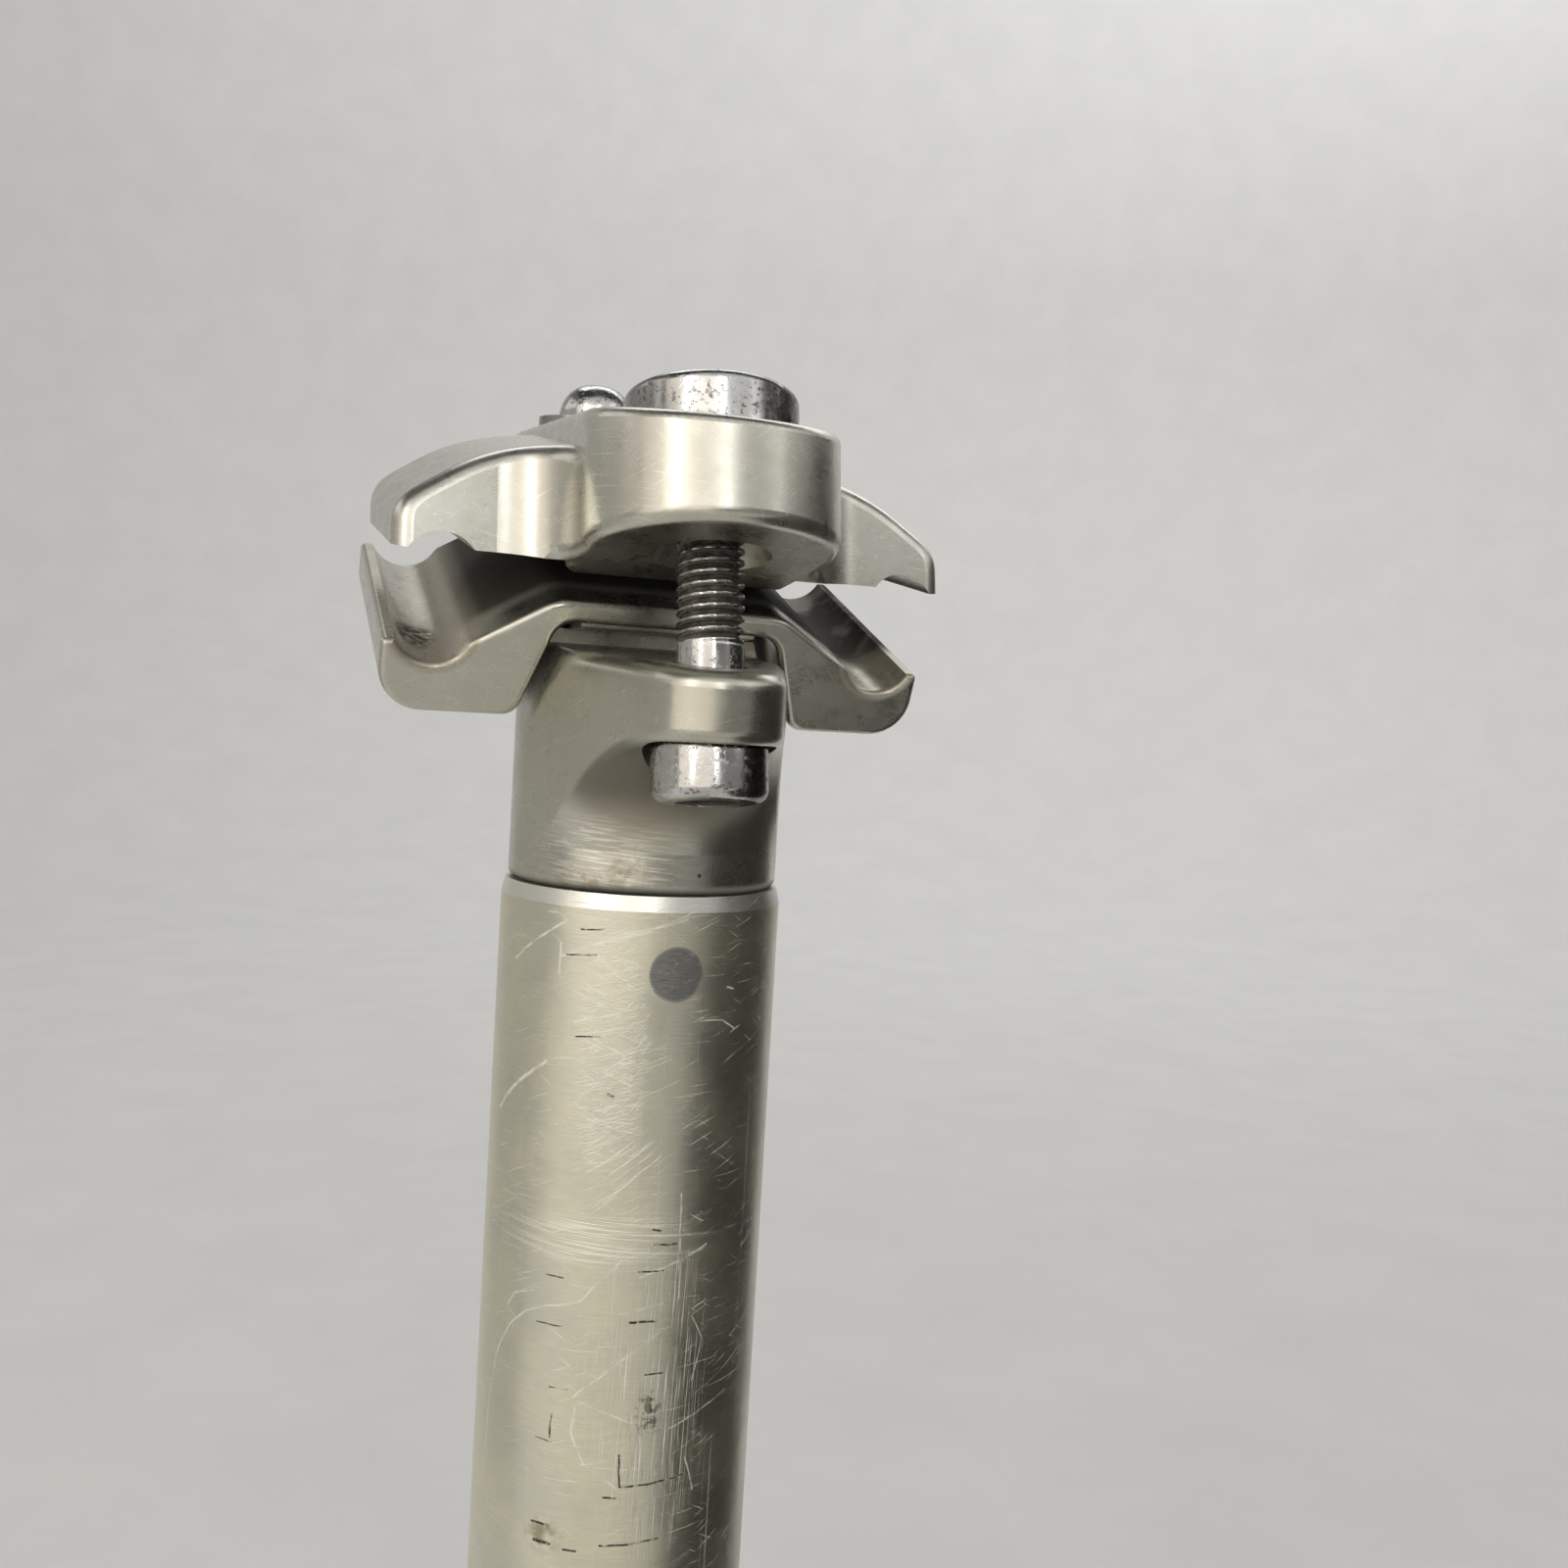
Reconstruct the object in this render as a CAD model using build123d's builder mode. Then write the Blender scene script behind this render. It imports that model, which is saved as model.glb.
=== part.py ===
from build123d import *
import os
from math import asin, cos, radians, sin, sqrt, tan

# Two-bolt seatpost with set-back, its saddle clamp standing open at the front.
# Frame: +Z up along the post, +Y to the rear of the bicycle, +X to the rider's right.
# The origin is on the post's axis, at the shaft's lower end. Millimetres and degrees.

# Shaft, the tube that slides into the frame
shaft_diameter = 27.2
shaft_wall = 2.2
shaft_length = 225.0
bevel_height = 1.4
bevel_inset = 0.35
bore_break = 0.6

# Head, pressed into the shaft and pinned
spigot_length = 28.0
spigot_gap = 0.03
body_inset = 0.55
body_edge_radius = 0.9
pin_diameter = 5.0
pin_drop = 7.0
pin_gap = 0.02

# Bolts: thread, head and socket, and where each head bears on the post's head
bolt_diameter = 6.0
bolt_hole_gap = 0.4
bolt_head_diameter = 10.2
bolt_head_height = 5.6
bolt_head_edge = 1.1
bolt_tip_edge = 0.6
socket_width = 5.0
socket_depth = 3.4
counterbore_gap = 0.7
bolt_tip_drop = 1.0
front_seat_y = -19.25
front_seat_z = 14.6
front_lean = 9.5
rear_seat_y = 33.0
rear_seat_z = 20.0
rear_lean = -4.0

# Front ear of the head, over the front bolt's head
ear_radius = 6.5
ear_root_inset = 0.1
ear_top_z = 20.9
ear_top_slope = 5.0
ear_top_edge = 1.6
ear_back_y = 1.0
scoop_z = 1.5
scoop_height = 12.7
scoop_depth = 11.0
scoop_edge = 1.2

# Set-back arm of the head, out to the rear bolt
arm_half_width = 8.6
arm_start_y = 6.0
rear_ear_radius = 7.5
rear_ear_top_z = 26.5
rear_spotface_radius = 9.5
arm_top_z = 31.0
rear_ear_start_y = 24.0

# Lower cradle, square to the saddle rails: x across, h up from the bottom of the rail grooves
rail_diameter = 7.0
rail_spacing = 44.0
cradle_pitch = 22.0
cradle_y = 9.65
cradle_z = 25.15
cradle_length = 29.0
cradle_half_width = 26.4
cradle_top_h = 7.0
cradle_top_half_width = 11.0
cradle_top_corner = 4.0
cradle_bottom_h = -4.8
cradle_lip_h = 2.1
cradle_lip_width = 1.3
cradle_corner_radius = 4.0
cradle_edge = 0.7
cradle_slope_end_x = 19.5
cradle_slope_end_h = 1.7
cradle_groove_corner = 1.5
cradle_lip_corner = 0.55
cradle_foot_corner = 2.0
arch_h = 4.8
arch_corner_radius = 2.2
rocker_radius = 30.0
rocker_half_width = 8.5
rocker_gap = 0.05

# Sides of the head's top, which guide the cradle's arch
guide_half_width = 10.4
guide_slant = 18.0
guide_h = 2.6
guide_gap = 0.9
guide_edge = 4.0

# Upper clamp, square to its own rail grooves: x across, h up from the top of the grooves
jaw_pitch = 10.3
jaw_front_y = -8.6
jaw_front_z = 31.3
wing_front = 7.6
wing_length = 23.2
wing_front_blend = 6.0
wing_rear_blend = 3.0
jaw_inset = 0.1
jaw_tip_h = -1.6
jaw_floor_h = -1.4
jaw_crown_x = 9.0
jaw_crown_h = 8.8
jaw_shoulder_x = 13.6
jaw_shoulder_h = 8.2
jaw_brow_x = 20.0
jaw_brow_h = 6.1
jaw_cheek_x = 23.8
jaw_cheek_h = 3.8
jaw_relief_h = 2.6
jaw_relief_half_width = 14.0
jaw_relief_start = 1.2
jaw_edge = 1.8
lobe_radius = 11.4
lobe_bottom = 16.1
lobe_edge = 1.0
lobe_floor_edge = 1.2
jaw_top_slope = 6.5
rear_lobe_radius = 9.0
jaw_top_z = 41.8
jaw_hole_gap = 1.0
lobe_mouth_radius = 5.4
lobe_mouth_depth = 2.4
lobe_mouth_taper = 30.0

# Nuts
nut_diameter = 15.5
nut_height = 4.9
nut_edge = 0.9
nut_seat = 25.4
nut_pocket_gap = 0.35
rear_nut_diameter = 13.0
rear_nut_flange = 2.2
rear_nut_hub_diameter = 8.4
rear_nut_seat = 27.2
thread_gap = 0.02

# Worked-out sizes
shaft_radius = shaft_diameter / 2
bore_radius = shaft_radius - shaft_wall
body_radius = shaft_radius - body_inset
ear_root_radius = body_radius - ear_root_inset
pin_radius = pin_diameter / 2
bolt_radius = bolt_diameter / 2
bolt_hole_radius = bolt_radius + bolt_hole_gap
bolt_head_radius = bolt_head_diameter / 2
counterbore_radius = bolt_head_radius + counterbore_gap
groove_radius = rail_diameter / 2
groove_x = rail_spacing / 2
jaw_half_width = cradle_half_width - jaw_inset
nut_radius = nut_diameter / 2
rear_nut_radius = rear_nut_diameter / 2
rear_nut_hub_radius = rear_nut_hub_diameter / 2
rear_nut_height = rear_nut_flange + rear_nut_hub_radius
rear_ear_y = rear_seat_y - (rear_ear_top_z - rear_seat_z) / 2 * tan(radians(-rear_lean))
ear_flank = asin((ear_root_radius - ear_radius) / -front_seat_y)
ear_end_y = -ear_root_radius * sin(ear_flank) - sqrt(body_radius**2 - ear_root_radius**2) / 2
guide_low_h = guide_h - (body_radius - guide_half_width) / tan(radians(guide_slant))
reach = 80.0
near = 0.01

# Planes that the pieces share
ring = Plane.XY.offset(shaft_length)
side = Plane(origin=(0, 0, shaft_length), x_dir=(0, 1, 0), z_dir=(1, 0, 0))
across = Plane(origin=(0, 0, shaft_length), x_dir=(1, 0, 0), z_dir=(0, -1, 0))


def square_to_rails(y, z, pitch):
    """Plane square to rails of the given pitch, facing forward, its y axis up from the rails."""
    return Plane(
        origin=(0, y, shaft_length + z),
        x_dir=(1, 0, 0),
        z_dir=(0, -cos(radians(pitch)), -sin(radians(pitch))),
    )


def beside_rails(y, z, pitch):
    """Plane through the post's middle, its x axis back along rails of the given pitch."""
    return Plane(
        origin=(0, y, shaft_length + z),
        x_dir=(0, cos(radians(pitch)), sin(radians(pitch))),
        z_dir=(1, 0, 0),
    )


def along_bolt(y, z, lean):
    """Plane on which a bolt's head bears, its z axis up the bolt."""
    return Plane(
        origin=(0, y, shaft_length + z),
        x_dir=(1, 0, 0),
        z_dir=(0, sin(radians(lean)), cos(radians(lean))),
    )


ear_top_plane = along_bolt(front_seat_y, ear_top_z, -ear_top_slope)
cradle_front = square_to_rails(cradle_y, cradle_z, cradle_pitch).offset(cradle_length / 2)
cradle_side = beside_rails(cradle_y, cradle_z, cradle_pitch)
jaw_front = square_to_rails(jaw_front_y, jaw_front_z, jaw_pitch)
jaw_side = beside_rails(jaw_front_y, jaw_front_z, jaw_pitch)
front_bolt_plane = along_bolt(front_seat_y, front_seat_z, front_lean)
rear_bolt_plane = along_bolt(rear_seat_y, rear_seat_z, rear_lean)

jaw_span = front_bolt_plane.to_local_coords(
    rear_bolt_plane.from_local_coords((0, 0, rear_nut_seat))
).Y

# The rocker under the cradle runs out at the cradle's two ends
rocker_axis_h = arch_h + sqrt(rocker_radius**2 - (cradle_length / 2) ** 2)


def guide_x(h):
    """Half width of the head's guide sides at a height over the rail grooves."""
    return guide_half_width + (guide_h - h) * tan(radians(guide_slant))


def arch_x(h):
    """Half width of the cradle's arch, clear of the guide sides."""
    return guide_x(h) + guide_gap


def ear_top_at(y):
    """Height of the front ear's top."""
    return ear_top_z + (y - front_seat_y) * tan(radians(ear_top_slope))


def jaw_top_at(y):
    """Height of the upper clamp's top."""
    return jaw_top_z + (y - front_seat_y) * tan(radians(jaw_top_slope))


# Shaft tube
with BuildPart() as shaft_tube:
    with BuildSketch(Plane.XZ):
        with BuildLine():
            Polyline(
                (bore_radius + bore_break, 0),
                (shaft_radius, 0),
                (shaft_radius, shaft_length - bevel_height),
                (shaft_radius - bevel_inset, shaft_length),
                (bore_radius, shaft_length),
                (bore_radius, bore_break),
                close=True,
            )
        make_face()
    revolve(axis=Axis.Z)
    with BuildSketch(Plane.XZ):
        with Locations((0, shaft_length - pin_drop)):
            Circle(pin_radius + pin_gap)
    extrude(amount=shaft_diameter, both=True, mode=Mode.SUBTRACT)

# Cross pin, flush with the shaft at both ends
with BuildPart() as cross_pin:
    with BuildSketch(Plane.XZ):
        with Locations((0, shaft_length - pin_drop)):
            Circle(pin_radius)
    extrude(amount=shaft_diameter, both=True)
    with BuildSketch():
        Circle(shaft_radius)
    extrude(amount=shaft_length, mode=Mode.INTERSECT)

# The scoop under the head's overhangs, round the post's axis
with BuildPart() as scoop:
    with BuildSketch(across):
        with BuildLine():
            Spline(
                (ear_root_radius, scoop_z),
                (ear_root_radius + scoop_depth, scoop_z + scoop_height),
                tangents=((0, 1), (1, 0)),
            )
            Polyline(
                (ear_root_radius + scoop_depth, scoop_z + scoop_height),
                (reach, scoop_z + scoop_height),
                (reach, -bevel_height),
                (ear_root_radius, -bevel_height),
                (ear_root_radius, scoop_z),
            )
        make_face()
    revolve(axis=Axis.Z)

# Front ear, rounded along the scoop. It ends inside the head's body
with BuildPart() as ear:
    with BuildSketch(ring):
        with Locations((0, front_seat_y)):
            Circle(ear_radius)
        Circle(ear_root_radius)
        make_hull()
    extrude(amount=arm_top_z)
    split(bisect_by=Plane.XZ.offset(-ear_end_y), keep=Keep.TOP)
    add(scoop.part, mode=Mode.SUBTRACT)
    hollow_edges = ear.faces().filter_by(GeomType.REVOLUTION).edges()
    rims = hollow_edges.filter_by_position(Axis.Y, -reach, ear_end_y - near)
    fillet(
        rims.filter_by_position(Axis.Z, shaft_length + scoop_z + near, shaft_length + reach),
        radius=scoop_edge,
    )

# Head: front ear, set-back arm, body and spigot
with BuildPart() as head:
    with BuildSketch(ring):
        with Locations((0, arm_start_y)):
            Circle(arm_half_width)
        with Locations((0, rear_ear_y)):
            Circle(rear_ear_radius)
        make_hull()
    extrude(amount=arm_top_z)
    add(scoop.part, mode=Mode.SUBTRACT)
    add(ear.part)
    with BuildSketch(ring):
        Circle(body_radius)
    extrude(amount=arm_top_z)
    with BuildSketch(ring):
        Circle(bore_radius - spigot_gap)
    extrude(amount=-spigot_length)
    with BuildSketch(side):
        with BuildLine():
            Polyline(
                (-reach, ear_top_at(-reach)),
                (ear_back_y, ear_top_at(ear_back_y)),
                (ear_back_y, reach),
                (-reach, reach),
                close=True,
            )
        make_face()
        with BuildLine():
            Polyline(
                (rear_ear_start_y, rear_ear_top_z),
                (reach, rear_ear_top_z),
                (reach, reach),
                (rear_ear_start_y, reach),
                close=True,
            )
        make_face()
    extrude(amount=reach, both=True, mode=Mode.SUBTRACT)
    with BuildSketch(cradle_side):
        with Locations((0, rocker_axis_h)):
            Circle(rocker_radius + rocker_gap)
    extrude(amount=reach, both=True, mode=Mode.SUBTRACT)
    with BuildSketch(cradle_front):
        with BuildLine():
            Polyline(
                (guide_x(guide_low_h), guide_low_h),
                (guide_x(cradle_top_h), cradle_top_h),
                (reach, cradle_top_h),
                (reach, guide_low_h),
                close=True,
            )
        make_face()
        mirror(about=Plane.YZ)
    extrude(amount=reach, both=True, mode=Mode.SUBTRACT)
    with BuildSketch(front_bolt_plane):
        Circle(counterbore_radius)
    extrude(amount=-reach, mode=Mode.SUBTRACT)
    with BuildSketch(rear_bolt_plane):
        Circle(rear_spotface_radius)
    extrude(amount=-reach, mode=Mode.SUBTRACT)
    with BuildSketch(front_bolt_plane):
        Circle(bolt_hole_radius)
    extrude(amount=reach, mode=Mode.SUBTRACT)
    with BuildSketch(rear_bolt_plane):
        Circle(bolt_hole_radius)
    extrude(amount=reach, mode=Mode.SUBTRACT)
    with BuildSketch(Plane.XZ):
        with Locations((0, shaft_length - pin_drop)):
            Circle(pin_radius + pin_gap)
    extrude(amount=shaft_diameter, both=True, mode=Mode.SUBTRACT)
    for x in (-guide_x(0), guide_x(0)):
        guide = head.faces().sort_by_distance(cradle_front.from_local_coords((x, 0, 0)))[0]
        fillet(guide.edges().sort_by(Axis.Z)[:3], radius=guide_edge)
    ear_top_face = head.faces().filter_by(ear_top_plane).sort_by(Axis.Y)[0]
    fillet(ear_top_face.outer_wire().edges().sort_by(Axis.Y)[:-1], radius=ear_top_edge)
    foot_edges = head.edges().filter_by(GeomType.CIRCLE).filter_by_position(
        Axis.Z, shaft_length - near, shaft_length + near
    )
    fillet(foot_edges.sort_by(SortBy.RADIUS)[-1], radius=body_edge_radius)

# Lower cradle
with BuildPart() as lower_cradle:
    with BuildSketch(cradle_front) as cradle_profile:
        with BuildLine():
            Polyline(
                (0, cradle_top_h),
                (cradle_top_half_width, cradle_top_h),
                (cradle_slope_end_x, cradle_slope_end_h),
                (cradle_half_width - cradle_lip_width, cradle_lip_h),
                (cradle_half_width, cradle_lip_h),
                (cradle_half_width, cradle_bottom_h),
                (arch_x(cradle_bottom_h), cradle_bottom_h),
                (arch_x(arch_h), arch_h),
                (0, arch_h),
                close=True,
            )
        make_face()
        with Locations((groove_x, groove_radius)):
            Circle(groove_radius, mode=Mode.SUBTRACT)
        for corner, radius in (
            ((cradle_half_width, cradle_bottom_h), cradle_corner_radius),
            ((cradle_half_width, cradle_lip_h), cradle_lip_corner),
            ((cradle_top_half_width, cradle_top_h), cradle_top_corner),
            ((groove_x - groove_radius, cradle_lip_h), cradle_groove_corner),
            ((arch_x(cradle_bottom_h), cradle_bottom_h), cradle_foot_corner),
            ((arch_x(arch_h), arch_h), arch_corner_radius),
        ):
            fillet(cradle_profile.vertices().sort_by_distance(corner)[0], radius)
        mirror(about=Plane.YZ)
    extrude(amount=-cradle_length)
    cradle_ends = lower_cradle.faces().filter_by(cradle_front)
    fillet(cradle_ends.edges(), radius=cradle_edge)
    with BuildSketch(cradle_side):
        with Locations((0, rocker_axis_h)):
            Circle(rocker_radius)
        Rectangle(cradle_length - 2 * cradle_edge, arch_h + cradle_top_h, mode=Mode.INTERSECT)
    extrude(amount=rocker_half_width, both=True)

# Upper clamp: wings over the rails, and a spine from the front bolt to the rear one
with BuildPart() as upper_clamp:
    with BuildSketch(jaw_front.offset(reach)):
        with BuildLine():
            Spline(
                (0, jaw_crown_h),
                (jaw_crown_x, jaw_crown_h),
                (jaw_shoulder_x, jaw_shoulder_h),
                (jaw_brow_x, jaw_brow_h),
                (jaw_cheek_x, jaw_cheek_h),
                (jaw_half_width, 0),
                tangents=((1, 0), (0, -1)),
            )
            Polyline(
                (jaw_half_width, 0),
                (jaw_half_width, jaw_tip_h),
                (groove_x, jaw_tip_h),
                (groove_x, jaw_floor_h),
                (0, jaw_floor_h),
                (0, jaw_crown_h),
            )
        make_face()
        with Locations((groove_x, -groove_radius)):
            Circle(groove_radius, mode=Mode.SUBTRACT)
        mirror(about=Plane.YZ)
    extrude(amount=-2 * reach)
    with BuildSketch(front_bolt_plane) as jaw_plan:
        Circle(lobe_radius)
        with Locations((0, jaw_span)):
            Circle(rear_lobe_radius)
        make_hull()
        with Locations((0, wing_front)):
            Rectangle(reach, wing_length, align=(Align.CENTER, Align.MIN))
        for y, radius in (
            (wing_front, wing_front_blend),
            (wing_front + wing_length, wing_rear_blend),
        ):
            wing_roots = jaw_plan.vertices().filter_by_position(Axis.Y, y - near, y + near)
            fillet(wing_roots.filter_by_position(Axis.X, -lobe_radius, lobe_radius), radius)
    extrude(amount=reach, mode=Mode.INTERSECT)
    crown_edges = upper_clamp.faces().filter_by(GeomType.EXTRUSION).edges()
    fillet(crown_edges.filter_by(GeomType.LINE, reverse=True), radius=jaw_edge)
    with BuildSketch(front_bolt_plane):
        Circle(lobe_radius)
        with Locations((0, jaw_span)):
            Circle(rear_lobe_radius)
        make_hull()
    extrude(amount=reach)
    split(bisect_by=front_bolt_plane.offset(lobe_bottom), keep=Keep.TOP)
    with BuildSketch(side):
        with BuildLine():
            Polyline(
                (-reach, jaw_top_at(-reach)),
                (reach, jaw_top_at(reach)),
                (reach, 2 * reach),
                (-reach, 2 * reach),
                close=True,
            )
        make_face()
    extrude(amount=reach, both=True, mode=Mode.SUBTRACT)
    with BuildSketch(jaw_side):
        with BuildLine():
            Polyline(
                (jaw_relief_start, -reach),
                (jaw_relief_start, jaw_relief_h),
                (reach, jaw_relief_h),
                (reach, -reach),
                close=True,
            )
        make_face()
    extrude(amount=jaw_relief_half_width, both=True, mode=Mode.SUBTRACT)
    jaw_top = Plane(
        origin=(0, front_seat_y, shaft_length + jaw_top_z),
        x_dir=(1, 0, 0),
        z_dir=(0, -sin(radians(jaw_top_slope)), cos(radians(jaw_top_slope))),
    )
    fillet(upper_clamp.faces().filter_by(jaw_top).edges(), radius=lobe_edge)
    lobe_floor = upper_clamp.faces().filter_by(front_bolt_plane).sort_by(Axis.Y)[0]
    fillet(lobe_floor.edges().sort_by(Axis.Y)[:-1], radius=lobe_floor_edge)
    with BuildSketch(front_bolt_plane):
        Circle(bolt_radius + jaw_hole_gap)
    extrude(amount=reach, mode=Mode.SUBTRACT)
    with BuildSketch(front_bolt_plane.offset(lobe_bottom)):
        Circle(lobe_mouth_radius)
    extrude(amount=lobe_mouth_depth, taper=lobe_mouth_taper, mode=Mode.SUBTRACT)
    with BuildSketch(front_bolt_plane.offset(nut_seat)):
        Circle(nut_radius + nut_pocket_gap)
    extrude(amount=reach, mode=Mode.SUBTRACT)
    with BuildSketch(rear_bolt_plane):
        Circle(bolt_radius + jaw_hole_gap)
    extrude(amount=reach, mode=Mode.SUBTRACT)
    with BuildSketch(rear_bolt_plane.offset(rear_nut_seat)):
        Circle(rear_nut_radius + nut_pocket_gap)
    extrude(amount=reach, mode=Mode.SUBTRACT)


def socket_bolt(plane, length):
    """Socket-head bolt, its head under the plane and its shank up from it."""
    with BuildPart() as bolt:
        with BuildSketch(plane):
            Circle(bolt_head_radius)
        extrude(amount=-bolt_head_height)
        fillet(bolt.edges().sort_by(Axis.Z)[0], radius=bolt_head_edge)
        with BuildSketch(plane):
            Circle(bolt_radius)
        extrude(amount=length)
        chamfer(bolt.edges().sort_by(Axis.Z)[-1], length=bolt_tip_edge)
        with BuildSketch(plane.offset(-bolt_head_height)):
            RegularPolygon(socket_width / 2, 6, major_radius=False)
        extrude(amount=socket_depth, mode=Mode.SUBTRACT)
    return bolt.part


front_bolt = socket_bolt(front_bolt_plane, nut_seat + nut_height - bolt_tip_drop)
rear_bolt = socket_bolt(rear_bolt_plane, rear_nut_seat + rear_nut_flange)

# Front nut, round and flat-topped
with BuildPart() as front_nut:
    with BuildSketch(front_bolt_plane.offset(nut_seat)):
        Circle(nut_radius)
    extrude(amount=nut_height)
    fillet(front_nut.edges().sort_by(Axis.Z)[-1], radius=nut_edge)
    with BuildSketch(front_bolt_plane.offset(nut_seat)):
        Circle(bolt_radius + thread_gap)
    extrude(amount=nut_height, mode=Mode.SUBTRACT)

# Rear nut, flanged and domed
with BuildPart() as rear_nut:
    with BuildSketch(rear_bolt_plane.offset(rear_nut_seat)):
        Circle(rear_nut_radius)
    extrude(amount=rear_nut_flange)
    with BuildSketch(rear_bolt_plane.offset(rear_nut_seat)):
        Circle(rear_nut_hub_radius)
    extrude(amount=rear_nut_height)
    fillet(rear_nut.edges().sort_by(Axis.Z)[-1], radius=rear_nut_hub_radius - bolt_tip_edge)
    with BuildSketch(rear_bolt_plane.offset(rear_nut_seat)):
        Circle(bolt_radius + thread_gap)
    extrude(amount=rear_nut_flange + bolt_tip_edge, mode=Mode.SUBTRACT)

os.makedirs("parts", exist_ok=True)
pieces = {
    "shaft_tube": shaft_tube.part,
    "cross_pin": cross_pin.part,
    "head": head.part,
    "lower_cradle": lower_cradle.part,
    "upper_clamp": upper_clamp.part,
    "front_bolt": front_bolt,
    "front_nut": front_nut.part,
    "rear_bolt": rear_bolt,
    "rear_nut": rear_nut.part,
}
for name, piece in pieces.items():
    piece.label = name
    export_step(piece, f"parts/{name}.step")
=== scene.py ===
"""Looks of the seatpost: finishes, wear and dirt, painted shade, threaded bolts, studio and camera.

Lengths are written in millimetres and turned into metres where objects are made.
"""

import math

import bpy
from mathutils import Euler, Matrix, Vector


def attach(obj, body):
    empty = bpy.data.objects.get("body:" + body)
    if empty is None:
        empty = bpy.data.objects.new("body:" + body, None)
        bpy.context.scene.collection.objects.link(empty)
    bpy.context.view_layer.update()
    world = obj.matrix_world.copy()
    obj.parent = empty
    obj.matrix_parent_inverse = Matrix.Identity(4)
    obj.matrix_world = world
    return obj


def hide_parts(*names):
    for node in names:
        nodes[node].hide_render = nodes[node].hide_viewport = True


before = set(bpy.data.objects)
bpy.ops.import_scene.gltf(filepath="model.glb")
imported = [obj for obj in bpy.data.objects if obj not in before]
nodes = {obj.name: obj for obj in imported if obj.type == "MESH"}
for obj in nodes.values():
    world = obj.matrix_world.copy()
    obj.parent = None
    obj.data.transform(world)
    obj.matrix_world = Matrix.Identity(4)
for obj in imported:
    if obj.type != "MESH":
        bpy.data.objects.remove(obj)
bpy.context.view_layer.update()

MM = 0.001
BODY = "root"

# Places on the post, as the solids have them
SHAFT_RADIUS = 13.6
RING_Z = 225.0
BOLT_RADIUS = 3.0
BOLT_HEAD_RADIUS = 5.1
BOLT_HEAD_HEIGHT = 5.6
SOCKET_WIDTH = 5.0
SOCKET_DEPTH = 3.4
FRONT_SEAT = (0.0, -19.25, RING_Z + 14.6)
FRONT_LEAN = 9.5
FRONT_LENGTH = 29.3
REAR_SEAT = (0.0, 33.0, RING_Z + 20.0)
REAR_LEAN = -4.0
REAR_LENGTH = 29.4
THREAD_PITCH = 1.0
THREAD_DEPTH = 0.55
THREAD_START = 8.3
BEVEL_HEIGHT = 1.5
PIN_RADIUS = 2.5
PIN_DROP = 7.0

# Rail grooves of the cradle and of the upper clamp: a point on each and which way is up and back
RAIL_X = 22.0
CRADLE_RAIL = (0.0, 8.339, RING_Z + 28.395)
CRADLE_TILT = math.radians(22.0)
CRADLE_UP = (0.0, -math.sin(CRADLE_TILT), math.cos(CRADLE_TILT))
CRADLE_BACK = (0.0, math.cos(CRADLE_TILT), math.sin(CRADLE_TILT))
JAW_FRONT = (0.0, -8.6, RING_Z + 31.3)
JAW_TILT = math.radians(10.3)
JAW_UP = (0.0, -math.sin(JAW_TILT), math.cos(JAW_TILT))

# Camera, at the photograph's place: 1600 pixels a side and 1541 pixels of focal length
IMAGE_SIDE = 1600
FOCAL_PIXELS = 1541.0
SENSOR = 36.0
CAMERA_AT = (-39.61, -143.524, RING_Z + 17.633)
CAMERA_YAW = 20.6
CAMERA_PITCH = -2.8737
CAMERA_ROLL = 3.4012

# Studio, in metres: where the lamps aim, the feet and tops of the cards, and the world's level
HEAD_AT = (0.0, 0.0, 0.245)
CARD_FOOT = 0.004
CARD_TOP = 0.36
WORLD_LEVEL = 0.05

# Colours of dirt and wear, and of painted shade
NICK_DARK = (0.035, 0.03, 0.022, 1.0)
BROWN_SPOT = (0.2, 0.15, 0.07, 1.0)
# Dark of dirt, and of painted shade in hollows and between parts
DIRT_AND_SHADE_DARK = (0.035, 0.032, 0.024, 1.0)
STAIN = (0.26, 0.2, 0.11, 1.0)
PIT_DARK = (0.1, 0.09, 0.075, 1.0)
# Painted dark reflection on the sides of the chrome
SIDE_SHADE_DARK = (0.07, 0.066, 0.06, 1.0)
# Dark of dirt in the thread's roots and of painted shade in the socket
THREAD_DIRT_AND_SOCKET_SHADE = (0.045, 0.04, 0.025, 1.0)


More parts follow.
